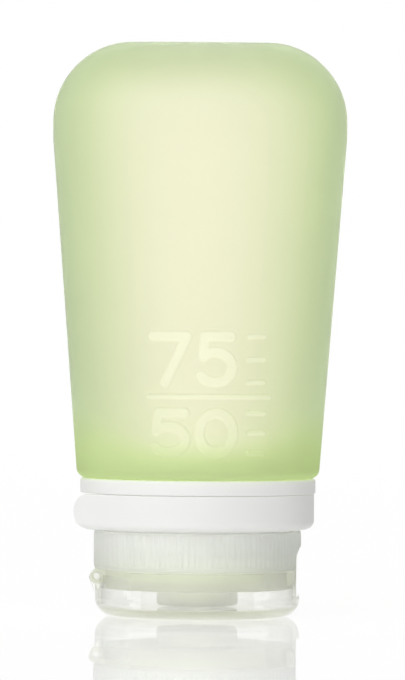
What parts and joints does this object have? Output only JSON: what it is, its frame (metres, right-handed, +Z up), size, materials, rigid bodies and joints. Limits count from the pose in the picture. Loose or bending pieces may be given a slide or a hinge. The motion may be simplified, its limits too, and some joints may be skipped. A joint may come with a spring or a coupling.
{
  "type": "travel squeeze tube",
  "caption": "Soft silicone travel squeeze tube that stands on a clear flip lid, with a frosted ribbed screw cap and a white collar with a swing-out hanging loop.",
  "frame": {"origin": "centre of the face that the closed lid rests on", "axes": "+Z up along the neck's axis to the tube's far end; the front with the volume marks faces -Y; the lid's hinge is on the -X side and the thumb scoop on the +X side"},
  "size_m": [0.0564, 0.0466, 0.11],
  "materials": {
    "silicone": "translucent green silicone, satin",
    "neck_plastic": "natural moulded plastic",
    "collar_plastic": "white moulded plastic",
    "loop_plastic": "white flexible plastic",
    "seal_rubber": "green silicone",
    "frosted_plastic": "frosted translucent plastic",
    "valve_rubber": "green silicone",
    "retainer_plastic": "natural moulded plastic",
    "clear_plastic": "clear moulded plastic"
  },
  "bodies": {
    "bottle": {"tube": "silicone", "neck_insert": "neck_plastic", "collar": "collar_plastic"},
    "loop": {"hang_loop": "loop_plastic"},
    "seal": {"gasket": "seal_rubber"},
    "cap": {"cap_body": "frosted_plastic", "valve": "valve_rubber", "valve_retainer": "retainer_plastic"},
    "lid": {"flip_lid": "clear_plastic"}
  },
  "joints": [
    {"name": "cap_travel", "type": "slide", "parent": "bottle", "child": "seal", "axis": [0, 0, -1], "range_m": [0, 0.008]},
    {"name": "cap_turn", "type": "hinge", "parent": "seal", "child": "cap", "pos_m": [0, 0, 0.0085], "axis": [0, 0, -1], "range_deg": [0, 720]},
    {"name": "lid_flip", "type": "hinge", "parent": "cap", "child": "lid", "pos_m": [-0.01925, 0, 0.0075], "axis": [0, 1, 0], "range_deg": [0, 130]},
    {"name": "loop_swing", "type": "hinge", "parent": "bottle", "child": "loop", "pos_m": [0.01823, 0.01052, 0.02], "axis": [0, 0, 1], "range_deg": [0, 100]}
  ],
  "couplings": [
    {"joint": "cap_turn", "follows": "cap_travel", "rad_per_m": 1570.8}
  ]
}
